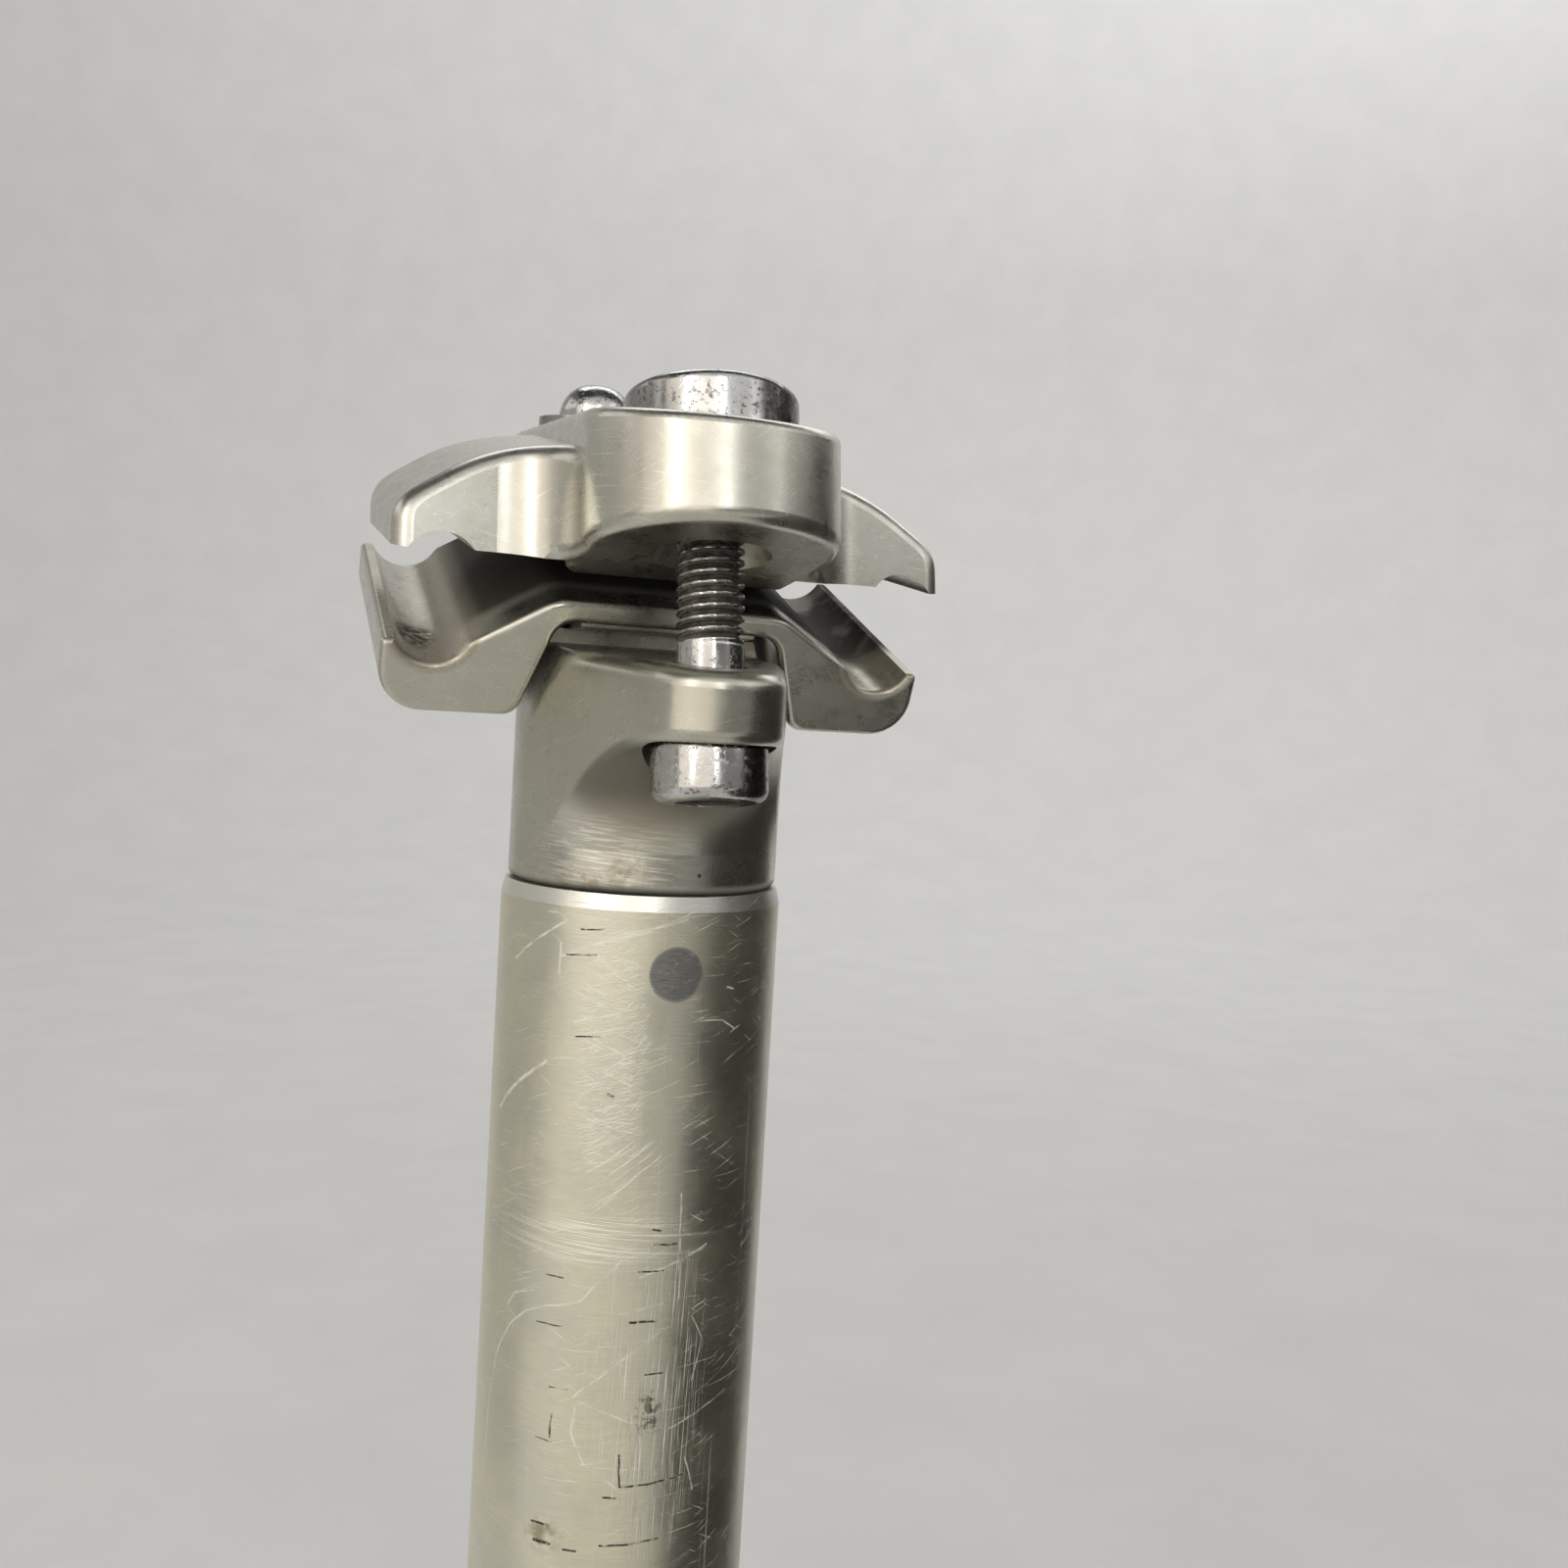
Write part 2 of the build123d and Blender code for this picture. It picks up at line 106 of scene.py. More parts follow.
class Graph:
    """Builds one material's nodes. Each method adds a node and returns its output."""

    def __init__(self, name):
        self.material = bpy.data.materials.new(name)
        self.material.use_nodes = True
        self.tree = self.material.node_tree
        self.tree.nodes.clear()

    def put(self, socket, value):
        if isinstance(value, bpy.types.NodeSocket):
            self.tree.links.new(value, socket)
        elif value is not None:
            socket.default_value = value

    def add(self, kind, inputs, output=0, **settings):
        node = self.tree.nodes.new(kind)
        for key, value in settings.items():
            setattr(node, key, value)
        for key, value in inputs.items():
            self.put(node.inputs[key], value)
        return node.outputs[output]

    def math(self, operation, a, b=None, c=None):
        return self.add("ShaderNodeMath", {0: a, 1: b, 2: c}, operation=operation)

    def hold(self, value):
        """Value held between 0 and 1."""
        return self.add("ShaderNodeClamp", {"Value": value})

    def vector(self, operation, a, b=None, scale=None, output=0):
        inputs = {0: a, 1: b, 3: scale}
        return self.add("ShaderNodeVectorMath", inputs, output, operation=operation)

    def place(self):
        """Point on the piece, in millimetres of the row frame."""
        point = self.add("ShaderNodeTexCoord", {}, "Object")
        return self.vector("SCALE", point, scale=1 / MM)

    def split(self, point):
        node = self.tree.nodes.new("ShaderNodeSeparateXYZ")
        self.put(node.inputs[0], point)
        return node.outputs[0], node.outputs[1], node.outputs[2]

    def join(self, x, y, z=0.0):
        return self.add("ShaderNodeCombineXYZ", {0: x, 1: y, 2: z})

    def unrolled(self, x, y, z):
        """Point laid flat: millimetres round the shaft from the front, and up from the ring."""
        turn = self.math("ARCTAN2", x, self.math("MULTIPLY", y, -1.0))
        around = self.math("MULTIPLY", turn, SHAFT_RADIUS)
        return self.join(around, self.math("SUBTRACT", z, RING_Z))

    def noise(self, point, size, detail=3.0, roughness=0.55, output=0):
        """Noise between about 0.3 and 0.7, its lumps about size millimetres across."""
        return self.add(
            "ShaderNodeTexNoise",
            {"Vector": point, "Scale": 1 / size, "Detail": detail, "Roughness": roughness},
            output,
        )

    def rise(self, value, low, high, start=0.0, end=1.0):
        """Value mapped from low..high to start..end, smoothly and with no overshoot."""
        return self.add(
            "ShaderNodeMapRange",
            {0: value, 1: low, 2: high, 3: start, 4: end},
            interpolation_type="SMOOTHSTEP",
        )

    def mix(self, factor, a, b):
        node = self.tree.nodes.new("ShaderNodeMix")
        node.data_type = "RGBA"
        self.put(node.inputs[0], factor)
        self.put(node.inputs[6], a)
        self.put(node.inputs[7], b)
        return node.outputs[2]

    def blend(self, factor, a, b):
        return self.add("ShaderNodeMix", {0: factor, 2: a, 3: b})

    def total(self, *values):
        """Sum of masks, held between 0 and 1."""
        result = values[0]
        for value in values[1:]:
            result = self.hold(self.math("ADD", result, value))
        return result

    def times(self, *values):
        result = values[0]
        for value in values[1:]:
            result = self.math("MULTIPLY", result, value)
        return result

    def ball(self, point, centre, size, soft=0.5):
        """Mask of 1 inside an ellipsoid, fading out over the outer share of its size."""
        local = self.vector("SUBTRACT", point, centre)
        local = self.vector("DIVIDE", local, size)
        reach = self.vector("LENGTH", local, output="Value")
        return self.rise(reach, 1.0, 1.0 - soft)

    def streaks(self, point, angle, length, width, low, high, seed=0.0):
        """Hairlines that lie at an angle on the plane of the point's first two axes."""
        turned = self.add(
            "ShaderNodeVectorRotate",
            {"Vector": point, "Angle": math.radians(-angle)},
            rotation_type="Z_AXIS",
        )
        stretched = self.vector("DIVIDE", turned, (length, width, 1.0))
        shifted = self.vector("ADD", stretched, (seed, 2.3 * seed, seed))
        return self.rise(self.noise(shifted, 1.0, 2.0, 0.5), low, high)

    def strokes(self, point, marks):
        """Mask of straight scratches: each is start, end and width."""
        result = 0.0
        for start, end, width in marks:
            along = Vector((end[0] - start[0], end[1] - start[1], 0.0))
            local = self.vector("SUBTRACT", point, (*start, 0.0))
            share = self.vector("DOT_PRODUCT", local, along / along.length_squared, output="Value")
            nearest = self.vector("SCALE", tuple(along), scale=self.hold(share))
            away = self.vector("DISTANCE", local, nearest, output="Value")
            mark = self.math("MULTIPLY_ADD", away, -2 / width, 1.0)
            result = self.math("MAXIMUM", mark, result)
        return result

    def finish(self, colour, roughness, metallic, height=None, bump=0.0):
        """Closes the material. bump is the depth of the height, in millimetres."""
        normal = None
        if height is not None:
            normal = self.add(
                "ShaderNodeBump",
                {"Height": height, "Strength": 1.0, "Distance": bump * MM},
            )
        shader = self.add(
            "ShaderNodeBsdfPrincipled",
            {
                "Base Color": colour,
                "Roughness": roughness,
                "Metallic": metallic,
                "Normal": normal,
            },
        )
        surface = self.tree.nodes.new("ShaderNodeOutputMaterial").inputs["Surface"]
        self.tree.links.new(shader, surface)
        return self.material


def grey(level, warm=0.0):
    """Colour of a level, a little olive where warm is over zero."""
    return (level, level * (1 - 0.12 * warm), level * (1 - warm), 1.0)


def chain(points, width):
    """Scratch along several points, as straight pieces end to end."""
    return [(a, b, width) for a, b in zip(points, points[1:])]


# Marks on the shaft: millimetres round from the front and up from the ring, so below it is negative
BRIGHT_MARKS = [
    *chain([(-17.0, -7.0), (-13.5, -4.5), (-10.5, -2.7)], 0.34),
    *chain([(-11.0, -6.0), (-5.0, -3.4), (0.8, -2.0)], 0.34),
    *chain([(-9.0, -5.0), (-2.5, -3.0)], 0.42),
    *chain([(-12.5, -2.0), (-6.0, -2.2)], 0.22),
    *chain([(-7.5, -5.4), (-5.2, -7.5)], 0.26),
    *chain([(-6.0, -5.6), (-3.6, -6.1)], 0.26),
    *chain([(-11.0, -4.8), (-11.0, -7.6)], 0.3),
    *chain([(-8.0, -8.5), (-6.4, -9.0)], 0.24),
    *chain([(-9.5, -9.0), (-6.0, -10.2)], 0.26),
    *chain([(-9.3, -11.8), (-5.0, -10.6)], 0.26),
    *chain([(-9.0, -13.0), (-3.5, -11.6)], 0.3),
    *chain([(-7.4, -13.0), (-4.2, -14.6), (-6.2, -16.2), (-3.6, -17.3)], 0.28),
    *chain([(-11.2, -15.4), (-6.8, -14.8)], 0.2),
    *chain([(-18.8, -21.5), (-15.5, -18.4), (-12.0, -15.8)], 0.5),
    *chain([(-8.6, -18.8), (-6.4, -16.9)], 0.2),
    *chain([(-7.4, -20.6), (-3.3, -20.6)], 0.32),
    *chain([(-7.4, -20.6), (-3.4, -21.5)], 0.26),
    *chain([(-7.0, -27.0), (-1.5, -22.4)], 0.2),
    *chain([(-8.0, -25.8), (-3.0, -22.8)], 0.2),
    *chain([(-5.6, -28.2), (-0.6, -23.6)], 0.2),
    *chain([(-7.8, -23.6), (-4.8, -21.9)], 0.2),
    *chain([(1.6, -27.3), (1.9, -37.0)], 0.22),
    *chain([(2.4, -11.2), (5.0, -11.4), (6.6, -12.4)], 0.24),
    *chain([(5.4, -8.4), (6.2, -8.6)], 0.3),
    *chain([(-3.6, -33.2), (-7.4, -37.4), (-10.4, -38.2), (-13.0, -39.4)], 0.24),
    *chain([(-13.0, -39.4), (-15.0, -41.2), (-17.0, -45.0), (-18.0, -50.0), (-18.6, -58.0)], 0.26),
    *chain([(-12.0, -37.2), (-14.4, -38.0), (-15.4, -39.4)], 0.24),
    *chain([(4.6, -32.4), (2.2, -33.4), (-1.8, -34.8)], 0.28),
    *chain([(-3.6, -38.2), (0.3, -37.4)], 0.26),
    *chain([(-7.4, -46.2), (-3.2, -42.6), (0.4, -40.0)], 0.28),
    *chain([(-7.0, -46.6), (-4.0, -47.6), (-1.8, -48.4)], 0.22),
    *chain([(-7.2, -47.2), (-7.4, -49.6), (-6.2, -52.2), (-3.0, -54.6)], 0.28),
    *chain([(-6.4, -52.4), (-4.0, -52.0)], 0.24),
    *chain([(-9.2, -42.6), (-7.8, -43.4), (-10.4, -44.6)], 0.2),
    *chain([(3.4, -39.0), (4.8, -41.4), (3.8, -45.2)], 0.22),
    *chain([(3.6, -52.4), (4.6, -55.8)], 0.22),
    *chain([(1.6, -49.4), (8.2, -47.2)], 0.2),
]
DARK_MARKS = [
    *chain([(-9.0, -3.3), (-6.8, -3.1)], 0.2),
    *chain([(-10.4, -5.7), (-7.4, -5.5)], 0.22),
    *chain([(-9.0, -13.1), (-6.6, -12.9)], 0.2),
    *chain([(-5.7, -18.1), (-5.2, -18.3)], 0.3),
    *chain([(-0.9, -30.5), (-0.2, -30.6)], 0.3),
    *chain([(-0.6, -31.9), (1.4, -31.9)], 0.3),
    *chain([(-1.9, -34.3), (0.3, -34.3)], 0.24),
    *chain([(-2.6, -39.0), (-0.2, -39.0)], 0.34),
    *chain([(-1.0, -44.0), (0.7, -43.9)], 0.24),
    *chain([(-10.9, -35.4), (-9.0, -35.4)], 0.18),
    *chain([(-11.6, -40.0), (-8.8, -39.9)], 0.18),
    *chain([(-9.9, -45.7), (-8.0, -45.6)], 0.18),
    *chain([(-9.4, -48.2), (-9.5, -50.4)], 0.26),
    *chain([(-11.0, -50.8), (-9.3, -50.8)], 0.16),
    *chain([(-2.9, -51.4), (-2.7, -54.4), (3.6, -54.0)], 0.26),
    *chain([(-4.1, -55.4), (-3.0, -55.4)], 0.26),
    *chain([(-4.2, -60.0), (1.2, -59.6)], 0.26),
    *chain([(-10.9, -58.6), (-9.2, -58.6)], 0.34),
    *chain([(-10.6, -60.3), (-9.0, -60.3)], 0.44),
    *chain([(-7.6, -60.6), (-6.4, -60.6)], 0.3),
]


def shaft_finish():
    """Satin drawn aluminium with handling scratches, dark nicks and a few stains."""
    g = Graph("satin_scratched_aluminium")
    x, y, z = g.split(g.place())
    flat = g.unrolled(x, y, z)
    sway = g.vector("SUBTRACT", g.noise(flat, 3.0, 2.0, output=1), (0.5, 0.5, 0.5))
    bent = g.vector("ADD", flat, g.vector("SCALE", sway, scale=0.45))

    grain = g.streaks(flat, 0, 3.5, 0.07, 0.3, 0.7, 4.1)
    cloud = g.noise(flat, 9.0, 4.0)
    wear = g.rise(g.noise(flat, 5.0, 3.0), 0.38, 0.62)

    bright = g.strokes(bent, BRIGHT_MARKS)
    fan = g.times(
        g.streaks(flat, 38, 4.5, 0.16, 0.6, 0.72, 1.7),
        g.ball(flat, (-4.5, -25.0, 0.0), (6.5, 6.0, 1.0), 0.6),
    )
    column = g.ball(flat, (-5.5, -14.0, 0.0), (4.5, 15.0, 1.0), 0.7)
    feather = g.times(
        g.total(
            g.streaks(flat, 18, 2.6, 0.13, 0.56, 0.66, 0.9),
            g.streaks(flat, -26, 2.0, 0.12, 0.6, 0.7, 3.7),
            g.streaks(flat, 52, 2.2, 0.12, 0.6, 0.7, 5.1),
        ),
        column,
    )
    rub = g.times(
        g.streaks(flat, -3, 7.0, 0.14, 0.5, 0.66, 7.3),
        g.ball(flat, (-6.5, -31.5, 0.0), (15.0, 3.6, 1.0), 0.8),
    )
    upright = g.times(
        g.streaks(flat, 88, 8.0, 0.13, 0.56, 0.68, 2.9),
        g.ball(flat, (-0.5, -46.0, 0.0), (7.5, 20.0, 1.0), 0.6),
    )
    slanted = g.times(g.streaks(flat, 24, 5.0, 0.13, 0.64, 0.76, 5.5), wear)
    crossed = g.times(g.streaks(flat, -32, 4.0, 0.13, 0.66, 0.78, 8.8), wear)
    level = g.streaks(flat, 2, 6.0, 0.12, 0.66, 0.78, 3.3)
    lined = g.streaks(flat, 90, 40.0, 0.2, 0.66, 0.74, 6.1)
    faint = (g.times(level, 0.7), g.times(lined, 0.5))
    hair = g.total(fan, feather, rub, upright, slanted, crossed, *faint)
    fade = g.rise(g.noise(flat, 1.4, 2.0), 0.3, 0.56, 0.25)
    scratch = g.math("MAXIMUM", g.times(bright, fade), g.times(hair, 0.75))

    nick = g.hold(g.times(g.strokes(bent, DARK_MARKS), 1.8))
    nick = g.times(nick, g.rise(g.noise(flat, 0.5, 2.0), 0.32, 0.5, 0.3))
    worn = g.times(
        g.streaks(flat, 90, 3.0, 0.2, 0.55, 0.68, 9.4),
        g.ball(flat, (0.2, -52.0, 0.0), (4.5, 12.0, 1.0), 0.8),
    )
    stain = g.times(
        g.ball(flat, (-0.3, -47.6, 0.0), (1.7, 2.6, 1.0), 0.5),
        g.rise(g.noise(flat, 0.8, 3.0), 0.44, 0.56),
    )
    brown = g.times(
        g.ball(flat, (-9.8, -59.6, 0.0), (2.6, 2.4, 1.0), 0.8),
        g.rise(g.noise(flat, 1.2, 3.0), 0.4, 0.62),
    )
    dark = g.total(nick, g.times(stain, 0.75), g.times(worn, 0.45))

    bevel = g.rise(z, RING_Z - BEVEL_HEIGHT, RING_Z - BEVEL_HEIGHT + 0.2)
    colour = g.mix(g.rise(cloud, 0.35, 0.65), grey(0.79, 0.18), grey(0.87, 0.23))
    colour = g.mix(g.times(grain, 0.35), colour, grey(0.6, 0.06))
    colour = g.mix(g.times(bevel, 0.8), colour, grey(0.86, 0.03))
    colour = g.mix(g.times(brown, 0.7), colour, BROWN_SPOT)
    colour = g.mix(g.times(scratch, 0.9), colour, grey(0.95, 0.05))
    colour = g.mix(dark, colour, NICK_DARK)
    rough = g.blend(g.rise(cloud, 0.3, 0.7), 0.3, 0.4)
    rough = g.blend(scratch, rough, 0.55)
    rough = g.blend(dark, rough, 0.75)
    metal = g.blend(g.total(dark, g.times(brown, 0.6), g.times(scratch, 0.7)), 1.0, 0.1)
    height = g.math("SUBTRACT", g.times(grain, 0.12), g.times(hair, 0.5))
    return g.finish(colour, rough, metal, height, 0.03)


def cast_finish(name, tint, warm, marks):
    """Forged aluminium polished long ago: soft mottle, small knocks, and dirt and painted shade in
    the corners.

    marks is given the graph and the point, and returns masks of dirt and painted shade, of stain, and
    of brush marks.
    """
    g = Graph(name)
    place = g.place()
    mottle = g.noise(place, 2.6, 4.0)
    fine = g.noise(place, 0.35, 2.0)
    broad = g.noise(place, 11.0, 3.0)
    dirt_and_shade, stain, brushed = marks(g, place)
    specks = g.rise(g.noise(place, 0.5, 2.0, 0.4), 0.66, 0.74)
    specks = g.times(specks, g.rise(broad, 0.42, 0.58))
    pores = g.rise(g.noise(place, 0.42, 1.0, 0.3), 0.28, 0.22)

    colour = g.mix(g.rise(broad, 0.36, 0.64), grey(tint * 0.93, warm * 1.25), grey(tint, warm))
    colour = g.mix(g.times(g.rise(mottle, 0.5, 0.75), 0.15), colour, grey(tint * 0.82, warm * 1.25))
    colour = g.mix(g.times(g.total(g.times(specks, 0.6), brushed), 0.7), colour, grey(0.92, 0.1))
    colour = g.mix(g.times(stain, 0.5), colour, STAIN)
    # Dirt, and painted shade under the ear and between the jaws, darken the colour here
    colour = g.mix(g.total(g.times(pores, 0.06), dirt_and_shade), colour, DIRT_AND_SHADE_DARK)
    rough = g.blend(g.rise(mottle, 0.35, 0.65), 0.26, 0.32)
    rough = g.blend(brushed, rough, 0.42)
    rough = g.blend(dirt_and_shade, rough, 0.8)
    metal = g.blend(g.total(dirt_and_shade, g.times(stain, 0.5)), 1.0, 0.05)
    height = g.math("ADD", g.times(mottle, 0.25), g.times(fine, 0.2))
    height = g.math("SUBTRACT", height, g.times(brushed, 0.12))
    return g.finish(colour, rough, metal, height, 0.02)


def head_marks(g, place):
    """Brush marks and stains on the foot, painted shade and a brown stain that is partly painted
    shade in the hollow under the ear, dirt on the ear, one pit.
    """
    x, y, z = g.split(place)
    flat = g.unrolled(x, y, z)
    lumps = g.rise(g.noise(place, 1.1, 3.0), 0.42, 0.6)
    foot = g.times(g.rise(z, RING_Z + 1.1, RING_Z + 0.1), 0.9)
    facing = g.split(g.add("ShaderNodeTexCoord", {}, "Normal"))[2]
    # Painted shade in the hollow under the ear, on faces that look down
    under = g.ball(place, (-3.0, -14.0, RING_Z + 11.0), (13.0, 10.0, 8.0), 0.5)
    under = g.times(under, g.rise(facing, -0.05, -0.5))
    crumbs = g.ball(place, (0.0, -18.0, RING_Z + 20.6), (7.5, 8.5, 0.9), 0.5)
    pit = g.ball(place, (1.8, -12.9, RING_Z + 1.95), (0.24, 0.5, 0.24), 0.3)
    dirt_and_shade = g.total(foot, g.times(under, 0.7), g.times(crumbs, lumps, 0.55), pit)
    stain = g.total(
        g.times(g.ball(place, (-8.0, -11.0, RING_Z + 0.6), (6.0, 6.0, 1.5), 0.6), lumps),
        # Brown stain and painted shade in the hollow under the ear
        g.ball(place, (-3.0, -13.0, RING_Z + 9.5), (10.0, 9.0, 6.0), 0.7),
        g.times(g.ball(place, (-5.0, -13.0, RING_Z + 2.4), (3.0, 4.0, 1.6), 0.8), lumps),
    )
    zone = g.ball(flat, (-7.0, 3.4, 0.0), (11.0, 5.5, 1.0), 0.7)
    brushed = g.times(g.streaks(flat, -3, 3.2, 0.14, 0.5, 0.62, 2.2), zone)
    hair = g.times(g.streaks(flat, 28, 5.0, 0.14, 0.67, 0.77, 6.6), 0.6)
    return dirt_and_shade, stain, g.total(brushed, hair)


def jaw_marks(g, place):
    """Dull rail grooves, dirt in the left groove, dirt and painted shade in the right one, painted
    shade between the jaws, and hairlines on the wings.
    """
    lumps = g.rise(g.noise(place, 1.6, 4.0), 0.4, 0.6)
    fine = g.rise(g.noise(place, 0.7, 3.0), 0.38, 0.54)
    x, _, z = g.split(place)
    across = g.math("ABSOLUTE", x)
    local = g.vector("SUBTRACT", place, CRADLE_RAIL)
    over = g.vector("DOT_PRODUCT", local, CRADLE_UP, output="Value")
    back = g.vector("DOT_PRODUCT", local, CRADLE_BACK, output="Value")
    from_jaw = g.vector("SUBTRACT", place, JAW_FRONT)
    over_jaw = g.vector("DOT_PRODUCT", from_jaw, JAW_UP, output="Value")
    off = g.vector("LENGTH", g.join(g.math("SUBTRACT", across, RAIL_X), over), output="Value")
    groove = g.rise(off, 4.6, 4.2)

    left = g.ball(place, (-22.7, 1.6, RING_Z + 22.9), (2.5, 4.6, 3.0), 0.6)
    # Dirt and painted shade in the back of the right groove
    right = g.times(groove, g.rise(x, 10.0, 12.0), g.rise(back, -9.0, -5.0))
    # Painted shade between the jaws, under the upper clamp's wings
    deep = g.times(g.rise(back, -11.5, -8.0), g.rise(across, 20.0, 16.5), g.rise(over_jaw, 4.4, 3.4))
    dirt_and_shade = g.total(
        g.times(left, fine, 0.85),
        g.times(right, g.rise(g.noise(place, 5.0, 2.0), 0.35, 0.55, 0.55), 0.95),
        g.times(deep, 0.95),
    )
    stain = g.total(
        g.times(groove, 0.8),
        g.times(g.ball(place, (-21.0, 1.0, RING_Z + 22.5), (4.5, 7.0, 5.0), 0.9), 0.4),
        g.times(lumps, 0.1),
    )
    face = g.join(x, z)
    hair = g.streaks(face, -8, 3.5, 0.13, 0.62, 0.74, 3.9)
    slant = g.streaks(face, 35, 4.5, 0.12, 0.64, 0.76, 7.7)
    steep = g.streaks(face, -52, 3.0, 0.12, 0.66, 0.76, 1.3)
    return dirt_and_shade, stain, g.times(g.total(hair, slant, steep), 0.7)


def chrome_finish(name, dirt_radius=None):
    """Bright plating with fine pits, and a painted dark reflection towards its sides.

    With a dirt_radius, dirt lies in the thread's roots at that radius, and painted shade in the
    socket.
    """
    g = Graph(name)
    place = g.place()
    x, y, z = g.split(place)
    pits = g.rise(g.noise(place, 0.45, 3.0, 0.6), 0.54, 0.64)
    dull = g.rise(g.noise(place, 3.0, 4.0), 0.4, 0.62)
    colour = g.mix(g.rise(g.noise(place, 4.0, 2.0), 0.3, 0.7), grey(0.56, 0.0), grey(0.7, 0.01))
    colour = g.mix(g.times(dull, 0.3), colour, grey(0.4, 0.04))
    colour = g.mix(g.times(pits, g.rise(dull, 0.1, 0.9, 0.12), 0.75), colour, PIT_DARK)
    # Painted dark reflection towards the sides, stronger towards +X
    side_shade = g.total(g.rise(x, 1.0, 2.8, 0.0, 0.95), g.rise(x, -4.0, -7.0, 0.0, 0.55))
    side_shade = g.times(side_shade, g.rise(g.noise(place, 0.9, 4.0), 0.32, 0.58, 0.8))
    colour = g.mix(side_shade, colour, SIDE_SHADE_DARK)
    rough = g.blend(dull, 0.12, 0.24)
    rough = g.blend(pits, rough, 0.4)
    metal = 1.0
    if dirt_radius:
        out = g.vector("LENGTH", g.join(x, y), output="Value")
        root = g.rise(out, dirt_radius + 0.42, dirt_radius + 0.12)
        along = g.rise(z, THREAD_START - 0.4, THREAD_START + 0.3)
        patchy = g.rise(g.noise(place, 1.5, 3.0), 0.3, 0.6, 0.65)
        # Painted shade inside the socket
        socket = g.times(g.rise(out, 3.0, 2.9), g.rise(z, -0.3, -0.6))
        dirt_and_shade = g.total(g.times(root, along, patchy), g.times(socket, 0.95))
        colour = g.mix(g.times(along, 0.5), colour, grey(0.3, 0.1))
        colour = g.mix(dirt_and_shade, colour, THREAD_DIRT_AND_SOCKET_SHADE)
        rough = g.blend(dirt_and_shade, rough, 0.75)
        metal = g.blend(dirt_and_shade, 1.0, 0.2)
    return g.finish(colour, rough, metal, g.times(pits, -1.0), 0.006)


def pin_finish():
    """Dull grey pin end with fine lines across it."""
    g = Graph("dull_pin")
    x, _, z = g.split(g.place())
    flat = g.join(x, z)
    lines = g.streaks(flat, 3, 1.2, 0.09, 0.35, 0.65, 1.1)
    mottle = g.noise(flat, 0.9, 3.0)
    drop = g.math("SUBTRACT", z, RING_Z - PIN_DROP)
    out = g.vector("LENGTH", g.join(x, drop), output="Value")
    rim = g.rise(out, 0.9 * PIN_RADIUS, PIN_RADIUS)
    colour = g.mix(lines, grey(0.2, 0.02), grey(0.3, 0.04))
    colour = g.mix(g.rise(mottle, 0.55, 0.75), colour, grey(0.4, 0.04))
    colour = g.mix(g.times(rim, 0.4), colour, grey(0.6, 0.05))
    return g.finish(colour, g.blend(mottle, 0.45, 0.65), 0.9, lines, 0.01)


